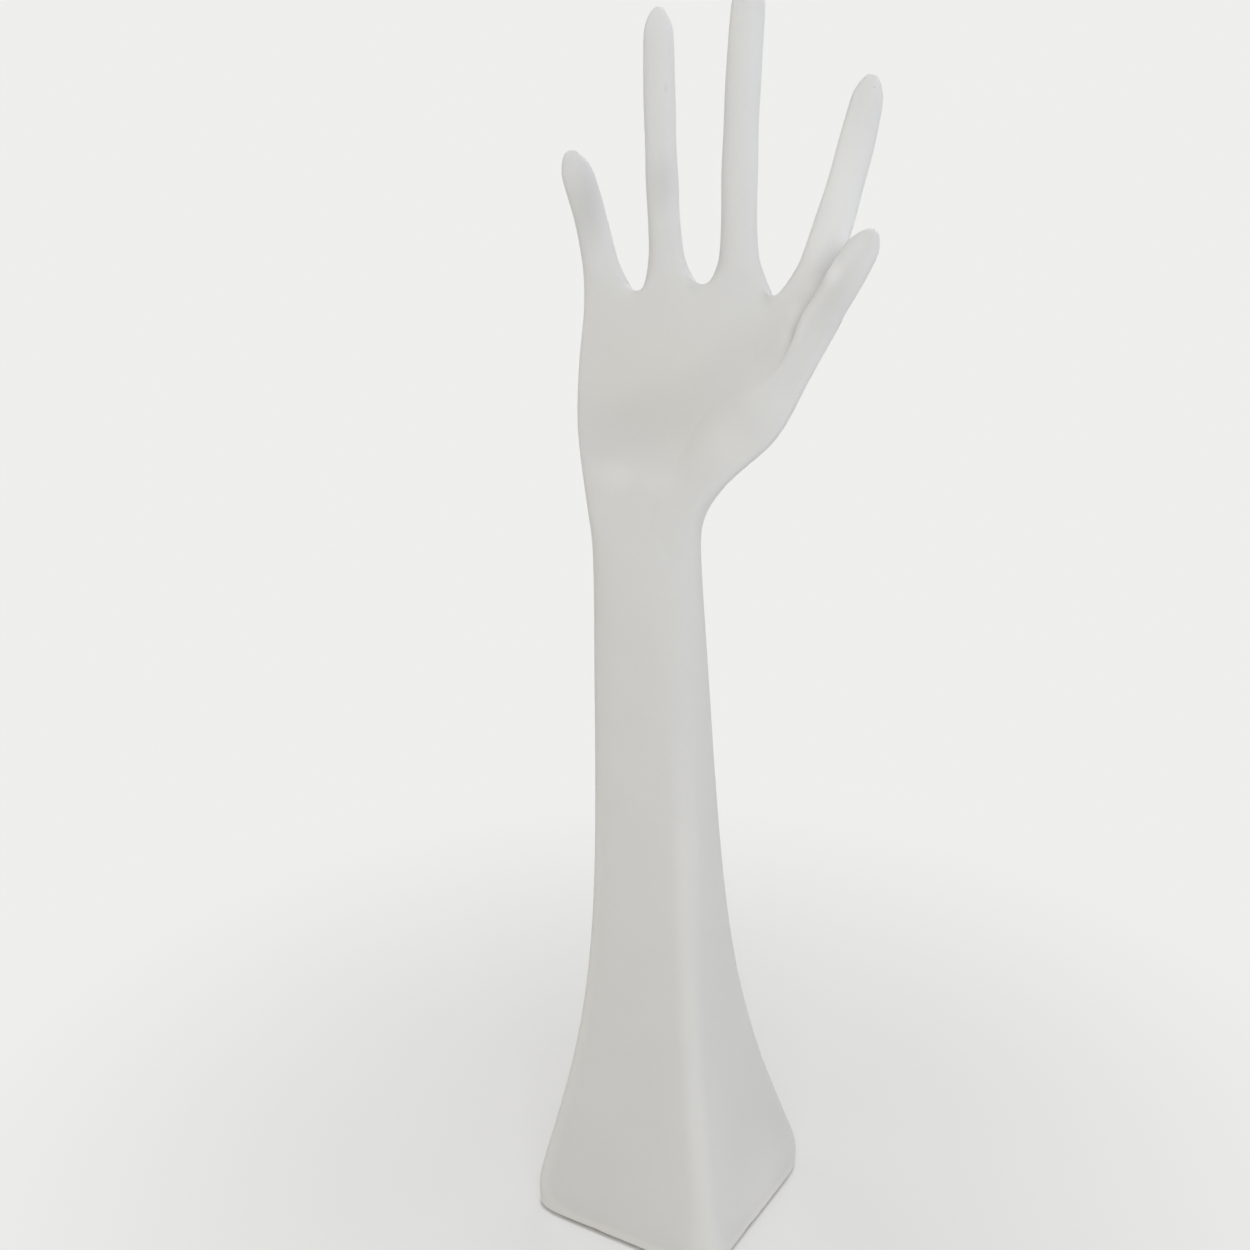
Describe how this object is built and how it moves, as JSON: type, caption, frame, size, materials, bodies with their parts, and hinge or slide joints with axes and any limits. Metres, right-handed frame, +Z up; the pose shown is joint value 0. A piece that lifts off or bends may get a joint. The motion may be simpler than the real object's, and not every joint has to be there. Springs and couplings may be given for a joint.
{
  "type": "hand jewelry stand",
  "caption": "Matte white jewelry display stand shaped as an upright right hand with spread fingers, on a slim forearm that flares into a rounded-square foot.",
  "frame": {"origin": "middle of the foot, on the underside of the felt pad, which is the surface that the stand rests on", "axes": "+Z up along the forearm to the fingertips, -Y the way the palm looks, +X the thumb's side; the foot's sides lie along X and Y and the hand is turned a little about Z"},
  "size_m": [0.1109, 0.0785, 0.4497],
  "materials": {
    "resin": "matte white paint on cast resin",
    "felt": "dark pressed felt",
    "board": "raw fibreboard",
    "iron": "rough cast",
    "wire": "drawn wire"
  },
  "bodies": {
    "root": {"hand_casting": "resin", "felt_pad": "felt", "base_plate": "board", "ballast_weight": "iron", "little_wire": "wire", "ring_wire": "wire", "middle_wire": "wire", "index_wire": "wire", "thumb_wire": "wire"}
  },
  "joints": []
}
